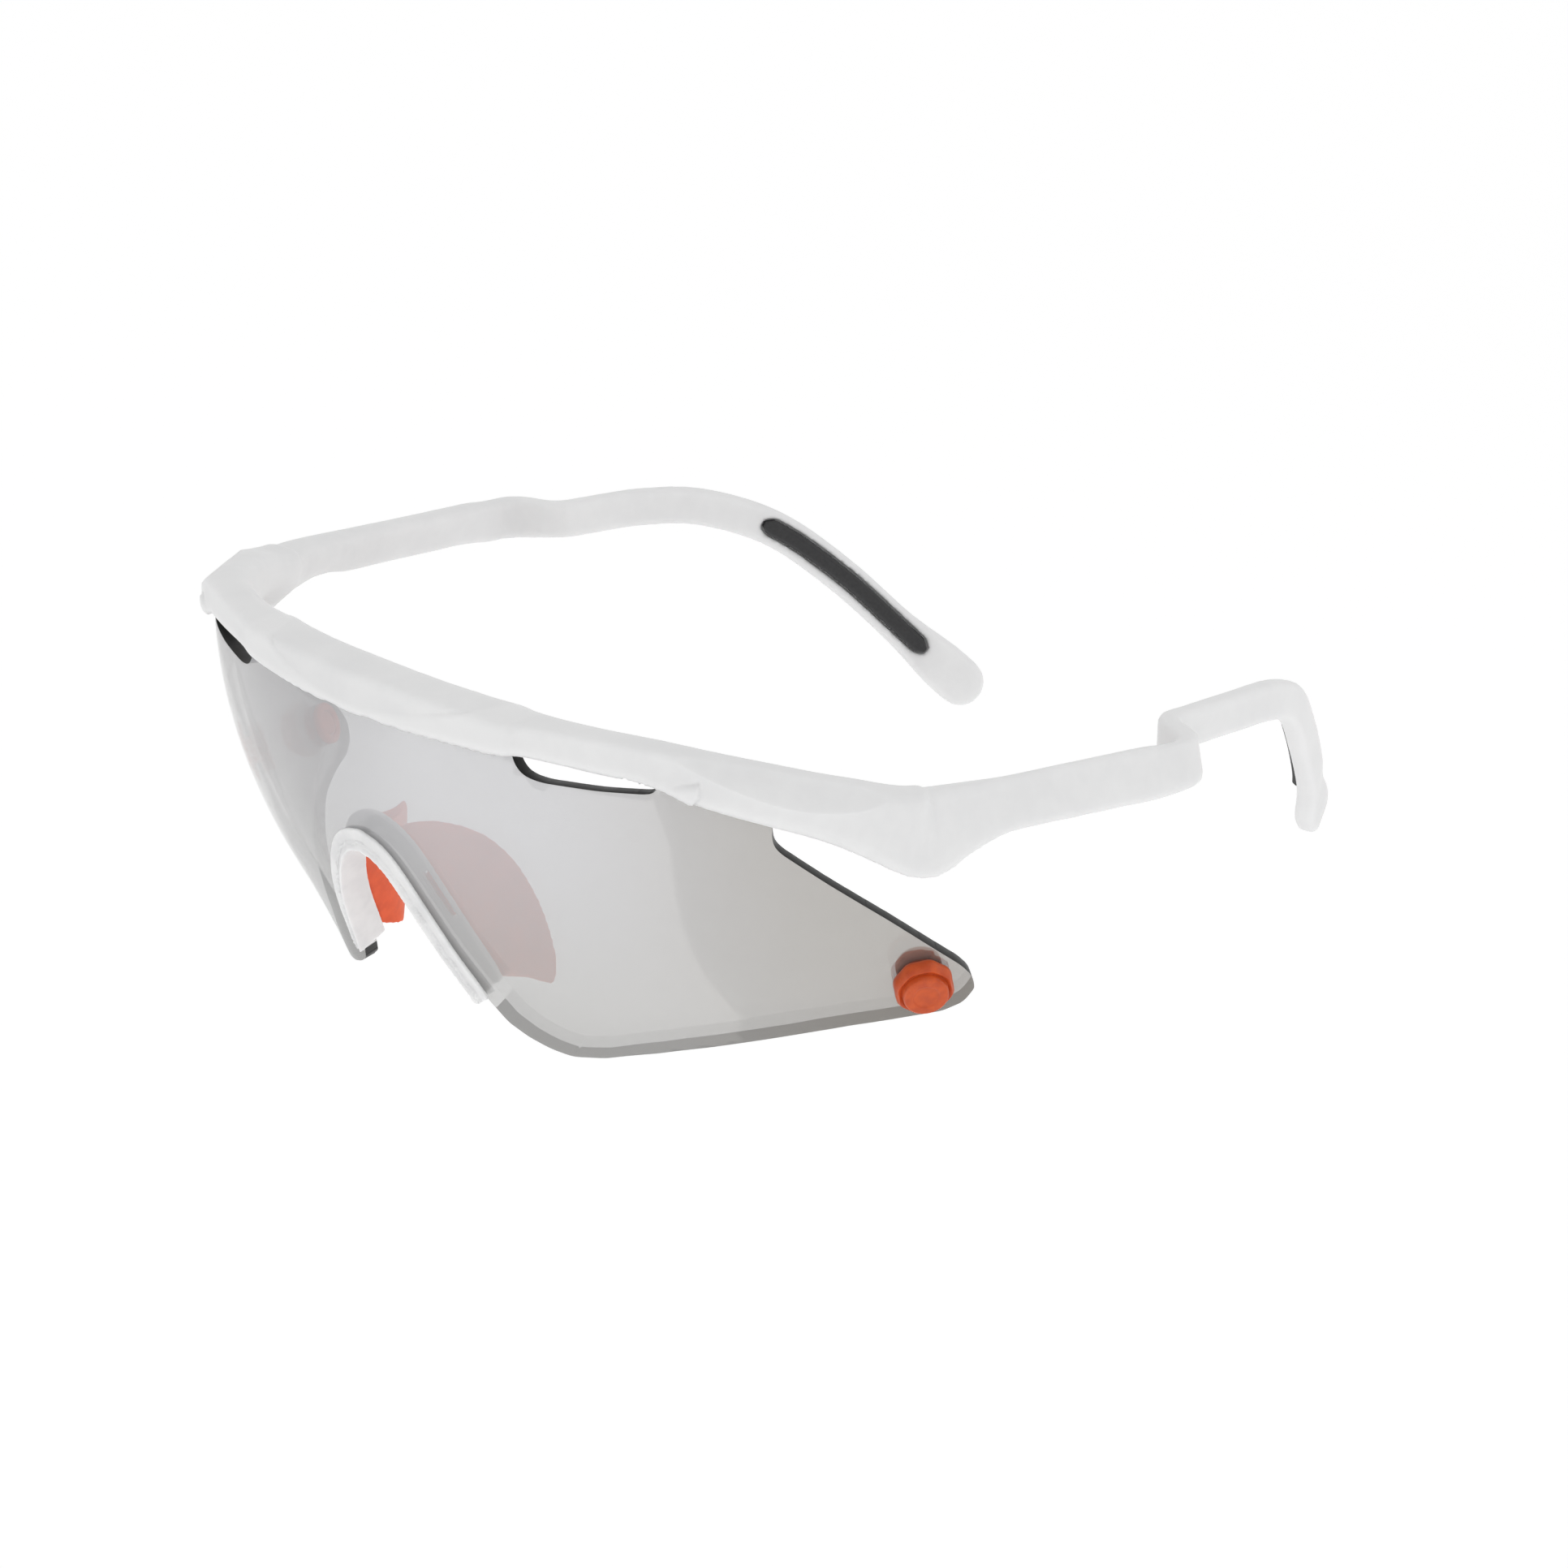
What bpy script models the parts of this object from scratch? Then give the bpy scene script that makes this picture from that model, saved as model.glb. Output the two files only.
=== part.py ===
"""Wraparound sport sunglasses: a one-piece frame, one shield lens held under its brow,
a nose clip with two soft pads, two lens studs and two soft grips on the ear stems.

Metres, +Z up, the front faces -Y, the wearer's left is +X, the middle plane is X = 0.
"""
import math

import bmesh
import bpy
from mathutils import Matrix, Vector

MM = 0.001
CLEARANCE = 0.3 * MM            # gap left between pieces that touch

# Shield lens: a toric sheet, laid out flat as (across, up) and then formed
WRAP_RADIUS = 82.0 * MM         # ear to ear
DROP_RADIUS = 64.0 * MM         # brow to cheek
LENS_TILT = math.radians(4.6)   # brow edge leans back
LENS_THICKNESS = 2.0 * MM
LENS_FRONT = 10.9 * MM          # how far the lens stands in front of the origin
LENS_EQUATOR = 2.3 * MM
SHOULDER = 3.2 * MM             # how far the sheet swells out beside the brow
SHOULDER_AT, SHOULDER_REACH = 56.0 * MM, 22.0 * MM
CHEEK_FLARE = 2.4 * MM          # how far the lower corners stand forward
CHEEK_AT, CHEEK_REACH = 28.0 * MM, 20.0 * MM
LIP_END = 28.6 * MM             # half width of the lens edge held by the middle of the brow
TAB_START, TAB_END = 49.4 * MM, 63.9 * MM
SEAT_TOP = 0.1 * MM             # top of the held edge
TAB_TOP = 0.2 * MM
SEAT_RUNOUT = 5.0 * MM          # the tab's slot starts this far short of the tab

# Frame
BAR_HEIGHT = 8.0 * MM
BROW_LOW = 4.6 * MM - BAR_HEIGHT    # lower edge of the bar, which the lens window follows
BAR_DEPTH = 6.8 * MM
LIP_THICKNESS = 1.3 * MM        # wall in front of the lens
CORNER_HEIGHT = 12.6 * MM
CORNER_DEPTH = 9.0 * MM
ARM_HEIGHT = 7.4 * MM
ARM_DEPTH = 3.0 * MM
ARM_LEAN = math.radians(20)     # the arm's lower edge stands further out
CREASE_REACH = 0.7 * MM         # how far the crease between the top and the front is rounded
CREASE_RISE = 0.2 * MM          # the crease is crisp where the top rises behind it by this much
STEM_HEIGHT = 5.4 * MM
STEM_DEPTH = 2.9 * MM
TIP_HEIGHT = 7.2 * MM
STEM_DROP = 0.3 * MM            # how far the stems hang below the line of their stations

# Grips let into the inner side of the ear stems
GRIP_WIDTH = 2.3 * MM
GRIP_DEPTH = 1.2 * MM
GRIP_PROUD = 1.0 * MM
GRIP_START, GRIP_END = 0.812, 0.964     # along the frame, 0 at the middle and 1 at the tip
GRIP_LENGTH = 34.0 * MM         # over which its ends are rounded
GRIP_RAISE = 0.15 * MM          # above the middle of the stem

# Nose clip and pads
CLIP_WEB = 1.1 * MM
CLIP_WALL = 0.9 * MM
CLIP_FRONT_LAP = 1.6 * MM
CLIP_REAR_LAP = 3.0 * MM
LEG_EASE = 0.3 * MM             # extra room in front of the lens at the ends of the legs
PAD_THICKNESS = 1.6 * MM
PAD_DEPTH = 12.5 * MM

# Studs through the lens near its outer tips
STUD_ACROSS, STUD_UP = 85.8 * MM, -27.2 * MM
STUD_RADIUS = 4.0 * MM
STUD_HEIGHT = 2.2 * MM
STUD_BUTTON_RADIUS = 3.0 * MM
STUD_BUTTON_HEIGHT = 0.9 * MM
SHANK_RADIUS = 1.7 * MM
SHANK_LENGTH = 3.1 * MM         # from the lens front
CAP_RADIUS = 3.0 * MM
CAP_THICKNESS = 1.1 * MM

# Rounded lens outline, right half, flat (across, up) in millimetres
UPPER_EDGE = [(0, SEAT_TOP / MM), (LIP_END / MM - 1.2, SEAT_TOP / MM), (LIP_END / MM - 0.5, SEAT_TOP / MM - 0.4),
              (LIP_END / MM - 0.2, -2.0), (LIP_END / MM + 0.6, BROW_LOW / MM - 0.2),
              (LIP_END / MM + 2.0, BROW_LOW / MM - 1.2), (LIP_END / MM + 4.5, BROW_LOW / MM - 1.5),
              (41.5, BROW_LOW / MM - 0.8), (TAB_START / MM - 1.2, BROW_LOW / MM + 0.1),
              (TAB_START / MM - 0.2, BROW_LOW / MM + 0.7), (TAB_START / MM + 0.3, -0.3),
              (TAB_START / MM + 1.0, TAB_TOP / MM), (TAB_END / MM - 1.0, TAB_TOP / MM),
              (TAB_END / MM - 0.3, -0.2), (TAB_END / MM, -7.2), (TAB_END / MM + 0.8, -8.6),
              (71.6, -12.9), (80.0, -17.9), (87.0, -22.3), (90.6, -24.5), (92.4, -26.1), (93.2, -28.0)]
LOWER_EDGE = [(0, -21.2), (3.0, -21.9), (5.6, -23.6), (8.0, -26.6), (10.8, -31.4), (13.6, -37.4),
              (16.8, -43.8), (19.6, -46.8), (23.2, -48.2), (27.4, -49.3), (31.6, -49.8),
              (37.8, -49.1), (47.2, -46.8), (55.8, -43.9), (68.3, -39.3), (77.0, -36.2),
              (85.6, -33.7), (89.6, -32.5), (92.2, -30.8), (93.2, -28.3)]
NOSE_EDGE = [(0, -21.2), (3.0, -21.9), (5.6, -23.6), (8.0, -26.6), (10.8, -31.4), (13.6, -37.4),
             (16.4, -43.1)]


# ---------------------------------------------------------------- general making

def clear_scene():
    for thing in list(bpy.data.objects):
        bpy.data.objects.remove(thing, do_unlink=True)


def new_collection(name):
    made = bpy.data.collections.new(name)
    bpy.context.scene.collection.children.link(made)
    return made


def finish(name, colour, roughness, transmission=0.0, alpha=1.0):
    made = bpy.data.materials.new(name)
    made.use_nodes = True
    shader = made.node_tree.nodes["Principled BSDF"]
    shader.inputs["Base Color"].default_value = (*colour, 1.0)
    shader.inputs["Roughness"].default_value = roughness
    shader.inputs["Transmission Weight"].default_value = transmission
    shader.inputs["Alpha"].default_value = alpha
    return made


def object_from(name, points, faces, home, material=None):
    mesh = bpy.data.meshes.new(name)
    mesh.from_pydata([tuple(p) for p in points], [], faces)
    made = bpy.data.objects.new(name, mesh)
    home.objects.link(made)
    if material:
        mesh.materials.append(material)
    face_outward(made)
    return made


def face_outward(thing):
    shape = bmesh.new()
    shape.from_mesh(thing.data)
    bmesh.ops.recalc_face_normals(shape, faces=shape.faces)
    if shape.calc_volume(signed=True) < 0:
        bmesh.ops.reverse_faces(shape, faces=shape.faces)
    shape.to_mesh(thing.data)
    shape.free()


def loft(name, rings, home, material=None):
    """Skin equal rings of points and close both ends."""
    count = len(rings[0])
    points = [p for ring in rings for p in ring]
    faces = []
    for i in range(len(rings) - 1):
        for j in range(count):
            k = (j + 1) % count
            faces.append((i * count + j, i * count + k, (i + 1) * count + k, (i + 1) * count + j))
    faces.append(tuple(range(count)))
    faces.append(tuple(range((len(rings) - 1) * count, len(rings) * count)))
    return object_from(name, points, faces, home, material)


def cut(thing, cutter, operation="DIFFERENCE"):
    step = thing.modifiers.new(cutter.name, "BOOLEAN")
    step.operation = operation
    step.solver = "EXACT"
    step.object = cutter


def smooth_through(knots, t):
    """Catmull-Rom value at t on rows of numbers with their places first."""
    places = [row[0] for row in knots]
    i = max(0, min(len(knots) - 2, sum(1 for p in places if p <= t) - 1))
    rows = [knots[max(0, i - 1)], knots[i], knots[i + 1], knots[min(len(knots) - 1, i + 2)]]
    span = rows[2][0] - rows[1][0]
    f = (t - rows[1][0]) / span
    result = []
    for column in range(1, len(knots[0])):
        before, start, end, after = (row[column] for row in rows)
        slope_in = (end - before) / max(rows[2][0] - rows[0][0], 1e-9) * span
        slope_out = (after - start) / max(rows[3][0] - rows[1][0], 1e-9) * span
        result.append((2 * f**3 - 3 * f**2 + 1) * start + (f**3 - 2 * f**2 + f) * slope_in
                      + (3 * f**2 - 2 * f**3) * end + (f**3 - f**2) * slope_out)
    return result


# ---------------------------------------------------------------- the formed lens sheet

def formed(across, up, depth=0.0):
    """Where a point of the flat lens lands once formed; depth runs from the front inwards."""
    turn, drop = across / WRAP_RADIUS, up / DROP_RADIUS
    swell = math.exp(-((abs(across) - SHOULDER_AT) / SHOULDER_REACH) ** 2)
    depth -= SHOULDER * swell * max(0.0, min(1.0, 1 + up / (38 * MM)))
    cheek = math.exp(-((abs(across) - CHEEK_AT) / CHEEK_REACH) ** 2)
    depth -= CHEEK_FLARE * cheek * max(0.0, min(1.0, (-up - 38 * MM) / (13 * MM))) ** 2
    reach = (WRAP_RADIUS - DROP_RADIUS) + (DROP_RADIUS - depth) * math.cos(drop)
    spot = Vector((reach * math.sin(turn), WRAP_RADIUS - reach * math.cos(turn),
                   (DROP_RADIUS - depth) * math.sin(drop)))
    spot = Matrix.Rotation(-LENS_TILT, 3, "X") @ spot
    return spot + Vector((0, -LENS_FRONT, LENS_EQUATOR))


def edge_at(edge, across):
    """Height of an outline at a distance across, straight between its corners."""
    for (a0, b0), (a1, b1) in zip(edge, edge[1:]):
        if a0 <= across <= a1:
            return b0 + (b1 - b0) * (across - a0) / (a1 - a0)
    return edge[-1][1]


def lens_stations():
    wanted = {round(a, 3) for a, _ in UPPER_EDGE + LOWER_EDGE}
    wanted |= {round(2.4 * i, 3) for i in range(1, 38)}
    kept = []
    for a in sorted(wanted):
        if not kept or a - kept[-1] > 0.25:
            kept.append(a)
    return kept


def make_lens(home, material):
    rows = 10
    half = lens_stations()
    stations = [-a for a in reversed(half[1:])] + half
    rings = []
    for a in stations:
        top, low = edge_at(UPPER_EDGE, abs(a)), edge_at(LOWER_EDGE, abs(a))
        ups = [low + (top - low) * i / rows for i in range(rows + 1)]
        front = [formed(a * MM, u * MM) for u in ups]
        back = [formed(a * MM, u * MM, LENS_THICKNESS) for u in reversed(ups)]
        rings.append(front + back)
    count, deep = len(rings[0]), rows + 1
    points = [p for ring in rings for p in ring]
    faces = []
    for i in range(len(rings) - 1):
        for j in range(count):
            k = (j + 1) % count
            faces.append((i * count + j, i * count + k, (i + 1) * count + k, (i + 1) * count + j))
    for base in (0, (len(rings) - 1) * count):
        for j in range(deep - 1):
            faces.append((base + j, base + j + 1, base + count - 2 - j, base + count - 1 - j))
    lens = object_from("lens", points, faces, home, material)
    return lens


def formed_slab(name, across, up, depth, home, steps=24):
    """A block between two limits across, up and in depth, formed as the lens is."""
    rings = []
    for i in range(steps + 1):
        a = across[0] + (across[1] - across[0]) * i / steps
        ring = [formed(a, up[0] + (up[1] - up[0]) * j / 4, depth[0]) for j in range(5)]
        ring += [formed(a, up[1] + (up[0] - up[1]) * j / 4, depth[1]) for j in range(5)]
        rings.append(ring)
    return loft(name, rings, home)


# ---------------------------------------------------------------- frame

def brow_row(across, crease, low, rise, depth):
    """A section in front of the lens sheet: outer face one lip in front of it."""
    spot = formed(across * MM, 0.0, -LIP_THICKNESS)
    return (spot.x, spot.y, crease * MM, low, depth, 0.0, rise * MM, 0.0)


def outer_rows():
    """Outer face x and y, crease and lower edge, depth, lean, rise of the rear top edge and
    rise of the inner lower edge, from the middle to the end of the arm."""
    rows = [brow_row(0.0, 4.6, BROW_LOW + 2.1 * MM, 1.6, BAR_DEPTH),
            brow_row(10.0, 4.5, BROW_LOW + 2.2 * MM, 1.4, BAR_DEPTH),
            brow_row(20.0, 3.9, BROW_LOW + 2.4 * MM, 1.5, BAR_DEPTH),
            brow_row(27.2, 3.3, BROW_LOW + 2.6 * MM, 1.7, BAR_DEPTH),
            brow_row(29.6, 3.8, BROW_LOW + 3.2 * MM, 1.0, BAR_DEPTH * 0.93),
            brow_row(33.0, 4.1, BROW_LOW + 3.2 * MM, 0.6, BAR_DEPTH * 0.88)]
    rows += [(39.4 * MM, -4.1 * MM, 4.2 * MM, BROW_LOW + 2.9 * MM, BAR_DEPTH * 0.85, 0, 0.3 * MM, 0),
             (46.4 * MM, -1.0 * MM, 4.0 * MM, BROW_LOW + 2.4 * MM, BAR_DEPTH * 0.88, 0, 0.3 * MM, 0)]
    for x, y, crease, drop, deep, lean, heel in (
            (54.4, 3.4, 3.2, 0.50, 0.76, 0.0, 0.0), (61.3, 8.3, 2.1, 0.54, 0.88, 0.0, 0.04),
            (65.1, 12.0, 1.6, 0.60, 0.93, 0.05, 0.10), (68.2, 16.1, 1.0, 0.71, 0.95, 0.1, 0.24),
            (70.6, 20.5, 0.15, 0.84, 0.92, 0.2, 0.39), (71.9, 24.4, -0.2, 0.98, 0.82, 0.3, 0.56),
            (72.4, 27.0, -0.3, 1.00, 0.72, 0.4, 0.62), (72.7, 30.0, -0.4, 0.85, 0.60, 0.55, 0.52),
            (73.0, 35.6, -0.5, 0.67, 0.46, 0.8, 0.35)):
        rows.append((x * MM, y * MM, crease * MM, crease * MM - CORNER_HEIGHT * drop,
                     CORNER_DEPTH * deep, ARM_LEAN * lean, 0.25 * MM if x < 62 else 0.0,
                     CORNER_HEIGHT * heel))
    for x, y, crease, thick in ((73.2, 39.8, -0.6, 1.15), (73.5, 48.0, -0.6, 1.03),
                                (74.0, 57.0, -0.6, 1.0), (74.4, 63.0, -0.6, 1.0)):
        rows.append((x * MM, y * MM, crease * MM, crease * MM - ARM_HEIGHT,
                     ARM_DEPTH * thick, ARM_LEAN, 0, ARM_HEIGHT * 0.2))
    return rows


def frame_stations():
    """Place along the frame, middle x, y, z, height, depth, lean, rise and heel."""
    outer = outer_rows()
    rows = []
    for i, (x, y, crease, low, depth, lean, rise, heel) in enumerate(outer):
        ahead, behind = outer[min(i + 1, len(outer) - 1)], outer[max(i - 1, 0)]
        along = Vector((ahead[0] - behind[0], ahead[1] - behind[1], 0))
        if i == 0:
            along = Vector((1, 0, 0))
        out = along.cross(Vector((0, 0, 1))).normalized()
        rows.append((x - out.x * depth / 2, y - out.y * depth / 2, (crease + low) / 2,
                     crease - low, depth, lean, rise, heel))
    bend = [(73.0, 67.6, -3.8, 1.18, 0.9), (72.5, 70.2, -3.6, 1.16, 0.7), (70.6, 72.0, -3.3, 1.12, 0.4),
            (68.0, 72.7, -3.0, 1.06, 0.1), (65.6, 73.3, -2.7, 1.0, 0.0), (64.1, 75.0, -2.6, 1.0, 0.0),
            (63.8, 78.0, -2.6, 1.0, 0.0), (63.4, 82.0, -2.5, 1.0, 0.0), (62.6, 88.4, -2.5, 1.0, 0.0),
            (60.0, 97.4, -3.3, 1.0, 0.0), (54.6, 107.1, -6.9, 1.0, -0.2), (48.9, 115.5, -13.9, 1.0, -0.4),
            (43.2, 123.6, -22.8, 1.02, -0.4)]
    for x, y, z, share, lean in bend:
        rows.append((x * MM, y * MM, z * MM - STEM_DROP, STEM_HEIGHT * share, STEM_DEPTH, ARM_LEAN * lean, 0, 0))
    rows.append((39.0 * MM, 128.2 * MM, -28.2 * MM - STEM_DROP, TIP_HEIGHT, STEM_DEPTH, -ARM_LEAN * 0.4, 0, 0))
    rows.append((37.4 * MM, 130.6 * MM, -30.8 * MM - STEM_DROP, TIP_HEIGHT, STEM_DEPTH, -ARM_LEAN * 0.4, 0, 0))
    run, places = 0.0, [0.0]
    for before, after in zip(rows, rows[1:]):
        run += math.dist(before[:3], after[:3])
        places.append(run)
    return [(place / run, *row) for place, row in zip(places, rows)]


def frame_axes(stations, place):
    """Middle, direction, outward side and upward side of the frame's section, and its sizes."""
    step = 0.003
    before = Vector(smooth_through(stations, max(0.0, place - step))[:3])
    after = Vector(smooth_through(stations, min(1.0, place + step))[:3])
    x, y, z, *sizes = smooth_through(stations, place)
    lean = sizes.pop(2)
    along = Vector((1, 0, 0)) if place < 0.001 else (after - before).normalized()
    out = along.cross(Vector((0, 0, 1))).normalized()
    up = out.cross(along).normalized()
    turn = Matrix.Rotation(-lean, 3, along)
    return Vector((x, y, z)), along, turn @ out, turn @ up, sizes


def rounded_section(height, depth, rise=0.0, heel=0.0, count=3):
    """A four-cornered section in (out, up) with its corners rounded."""
    corners = [Vector((depth / 2, height / 2)), Vector((-depth / 2, height / 2 + rise)),
               Vector((-depth / 2, -height / 2 + heel)), Vector((depth / 2, -height / 2))]
    section = []
    soft = 0.30 * min(height, depth)
    for i, corner in enumerate(corners):
        before = (corners[i - 1] - corner).normalized()
        after = (corners[(i + 1) % 4] - corner).normalized()
        opening = before.angle(after)
        crisp = min(1.0, rise / CREASE_RISE) if i == 0 else 0.0
        reach = soft + (min(soft, CREASE_REACH) - soft) * crisp
        radius = reach * math.tan(opening / 2)
        centre = corner + (before + after).normalized() * radius / math.sin(opening / 2)
        start, end = corner + before * reach - centre, corner + after * reach - centre
        for k in range(count + 1):
            spoke = start.slerp(end, k / count).normalized() * radius
            section.append(tuple(centre + spoke))
    return section


def frame_places(stations):
    """Places of the sections: close together where the stations are."""
    places = []
    for before, after in zip(stations, stations[1:]):
        length = math.dist(before[1:4], after[1:4])
        count = max(2, math.ceil(length / (2.4 * MM)))
        places += [before[0] + (after[0] - before[0]) * i / count for i in range(count)]
    return places + [1.0]


def frame_whole(home, material):
    """Both halves skinned as one run of sections from tip to tip."""
    stations = frame_stations()
    rings = []
    for place in frame_places(stations):
        middle, along, out, up, sizes = frame_axes(stations, place)
        rings.append([middle + out * a + up * b for a, b in rounded_section(*sizes)])
    height = sizes[0]
    for share in (0.4, 0.7, 0.88, 0.97):
        shrink = math.sqrt(1 - share**2)
        flat = 0.5 + 0.5 * shrink
        rings.append([middle + along * (height / 2 * share) + out * a * flat + up * b * shrink
                      for a, b in rounded_section(*sizes)])
    for point in rings[0]:
        point.x = 0.0
    mirrored = [[Vector((-p.x, p.y, p.z)) for p in ring] for ring in reversed(rings[1:])]
    return loft("frame", mirrored + rings, home, material)


def make_frame(home, cutters, material):
    frame = frame_whole(home, material)
    depth = (-CLEARANCE, LENS_THICKNESS + CLEARANCE)
    seat = formed_slab("seat_middle", (-LIP_END - CLEARANCE, LIP_END + CLEARANCE),
                       (-18 * MM, SEAT_TOP + CLEARANCE), depth, cutters)
    cut(frame, seat)
    for side, name in ((1, "seat_left"), (-1, "seat_right")):
        span = (side * (TAB_START - SEAT_RUNOUT), side * (TAB_END + CLEARANCE))
        cut(frame, formed_slab(name, span, (-18 * MM, TAB_TOP + CLEARANCE), depth, cutters))
    for side, name in ((1, "grip_pocket_left"), (-1, "grip_pocket_right")):
        cut(frame, grip_strip(name, side, CLEARANCE, cutters))
    return frame


# ---------------------------------------------------------------- grips

def grip_strip(name, side, room, home, material=None):
    """A round-ended strip along the inner face of the stem; room makes its pocket."""
    stations = frame_stations()
    steps = 28
    rings = []
    for i in range(steps + 1):
        t = i / steps
        place = GRIP_START + (GRIP_END - GRIP_START) * t
        middle, along, out, up, (_, depth, _, _) = frame_axes(stations, place)
        ends = min(t, 1 - t) * GRIP_LENGTH
        reach = GRIP_WIDTH / 2
        fill = 1.0 if ends >= reach else math.sqrt(max(0.12, 1 - (1 - ends / reach) ** 2))
        half = reach * fill + room
        floor = -depth / 2 + GRIP_DEPTH + room
        face = -depth / 2 - GRIP_PROUD - (2 * room if room else 0)
        extra = (room if i == steps else -room if i == 0 else 0)
        base = middle + along * extra + up * GRIP_RAISE
        section = ([(floor, -half), (floor, half), (face, half), (face, -half)] if room else
                   [(floor, -half), (floor, half), (face + GRIP_PROUD * 0.6, half),
                    (face, half * 0.6), (face, -half * 0.6), (face + GRIP_PROUD * 0.6, -half)])
        rings.append([base + out * a + up * b for a, b in section])
    for ring in rings:
        for point in ring:
            point.x = point.x * side
    return loft(name, rings, home, material)


# ---------------------------------------------------------------- nose clip and pads

def nose_run(steps=56):
    """Points and inward normals, into the lens, along the nose edge from leg to leg."""
    knots = [(i, a, b) for i, (a, b) in enumerate(NOSE_EDGE)]
    half = [Vector(smooth_through(knots, (len(knots) - 1) * i / (steps // 2)))
            for i in range(steps // 2 + 1)]
    half = [Vector((max(0.0, p.x), p.y)) for p in half]
    run = [Vector((-p.x, p.y)) for p in reversed(half[1:])] + half
    result = []
    for i, p in enumerate(run):
        along = (run[min(i + 1, len(run) - 1)] - run[max(i - 1, 0)]).normalized()
        result.append((p * MM, Vector((-along.y, along.x))))
    return result


def make_clip(home, cutters, material):
    lens_gap = CLEARANCE
    front, rear = -lens_gap, LENS_THICKNESS + lens_gap
    section = [(-lens_gap - CLIP_WEB, front - CLIP_WALL), (CLIP_FRONT_LAP, front - CLIP_WALL),
               (CLIP_FRONT_LAP, front), (-lens_gap, front), (-lens_gap, rear), (CLIP_REAR_LAP, rear),
               (CLIP_REAR_LAP, rear + CLIP_WALL), (-lens_gap - CLIP_WEB, rear + CLIP_WALL)]
    rings = []
    run = nose_run()
    for i, (spot, inward) in enumerate(run):
        end = abs(2 * i / (len(run) - 1) - 1)
        ring = []
        for n, depth in section:
            if n == CLIP_REAR_LAP:
                n *= 1 - 0.55 * end**10
            if depth <= front:
                depth -= LEG_EASE * end**4
            q = spot + inward * n
            ring.append(formed(q.x, q.y, depth))
        rings.append(ring)
    clip = loft("nose_clip", rings, home, material)
    for side, name in ((1, "window_left"), (-1, "window_right")):
        cut(clip, pad_lug(name, side, CLEARANCE, cutters))
    return clip


def leg_place(t):
    """Point and direction into the lens on the nose leg, t from 0 high to 1 low."""
    run = nose_run()
    middle = len(run) // 2
    k = middle + 4 + t * (len(run) - 1 - middle - 4)
    i = min(int(k), len(run) - 2)
    f = k - i
    spot = run[i][0].lerp(run[i + 1][0], f)
    inward = run[i][1].lerp(run[i + 1][1], f)
    return spot, inward.normalized()


def pad_lug(name, side, room, home):
    """The square peg that holds a pad in the clip's rear wall."""
    rings = []
    rear = LENS_THICKNESS + CLEARANCE
    deep = rear - (0.0 if room else -0.15 * MM)
    back = rear + CLIP_WALL + (1.2 * MM if not room else 2 * MM)
    for t in (0.40, 0.46, 0.52, 0.58, 0.64):
        spot, inward = leg_place(t)
        if room:
            t_end = {0.40: -room, 0.64: room}.get(t, 0.0)
        else:
            t_end = 0.0
        low, high = 0.9 * MM - room, 2.3 * MM + room
        shift = Vector((inward.y, -inward.x)) * t_end
        ring = []
        for n, depth in ((low, deep), (high, deep), (high, back), (low, back)):
            q = spot + shift + inward * n
            p = formed(q.x, q.y, depth)
            ring.append(Vector((p.x * side, p.y, p.z)))
        rings.append(ring)
    return loft(name, rings, home)


def make_pad(name, side, home, cutters, material):
    """A leaf that starts behind the clip and sweeps back along the side of the nose."""
    rows, columns = 20, 8
    base = LENS_THICKNESS + 2 * CLEARANCE + CLIP_WALL
    rings = []
    for i in range(rows + 1):
        t = i / rows
        spot, inward = leg_place(t)
        width = PAD_DEPTH * (0.30 + 0.70 * math.sin(math.pi * (0.06 + 0.88 * t)) ** 0.6)
        sweep = Vector((0.34 + 0.16 * t, 0.90, 0.12 - 0.34 * t)).normalized()
        away = Vector((sweep.y, -sweep.x, 0.0)).normalized()
        inner, outer = [], []
        for j in range(columns + 1):
            s = j / columns
            thick = PAD_THICKNESS * (1.0 - 0.55 * s * s)
            for line, n in ((inner, 0.0), (outer, thick)):
                foot = spot + inward * (0.1 * MM + n)
                start = formed(foot.x, foot.y, base)
                line.append(start + sweep * (width * s) - away * (1.3 * MM * math.sin(math.pi * s)))
        ring = inner + list(reversed(outer))
        rings.append([Vector((p.x * side, p.y, p.z)) for p in ring])
    pad = loft(name, rings, home, material)
    cut(pad, pad_lug(name + "_peg", side, 0.0, cutters), "UNION")
    return pad


# ---------------------------------------------------------------- studs

def stud_frame(side):
    middle = formed(STUD_ACROSS, STUD_UP)
    across = (formed(STUD_ACROSS + MM, STUD_UP) - middle).normalized()
    out = across.cross(formed(STUD_ACROSS, STUD_UP + MM) - middle).normalized()
    up = out.cross(across)
    place = Matrix((across, up, out)).transposed().to_4x4()
    place.translation = middle
    flip = Matrix.Scale(side, 4, (1, 0, 0))
    return flip @ place


def turned(name, profile, place, home, material=None, count=40):
    """A turned piece from (radius, height) steps, closed on its axis."""
    rings = [[place @ Vector((r * math.cos(2 * math.pi * k / count),
                              r * math.sin(2 * math.pi * k / count), h)) for k in range(count)]
             for r, h in profile]
    return loft(name, rings, home, material)


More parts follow.
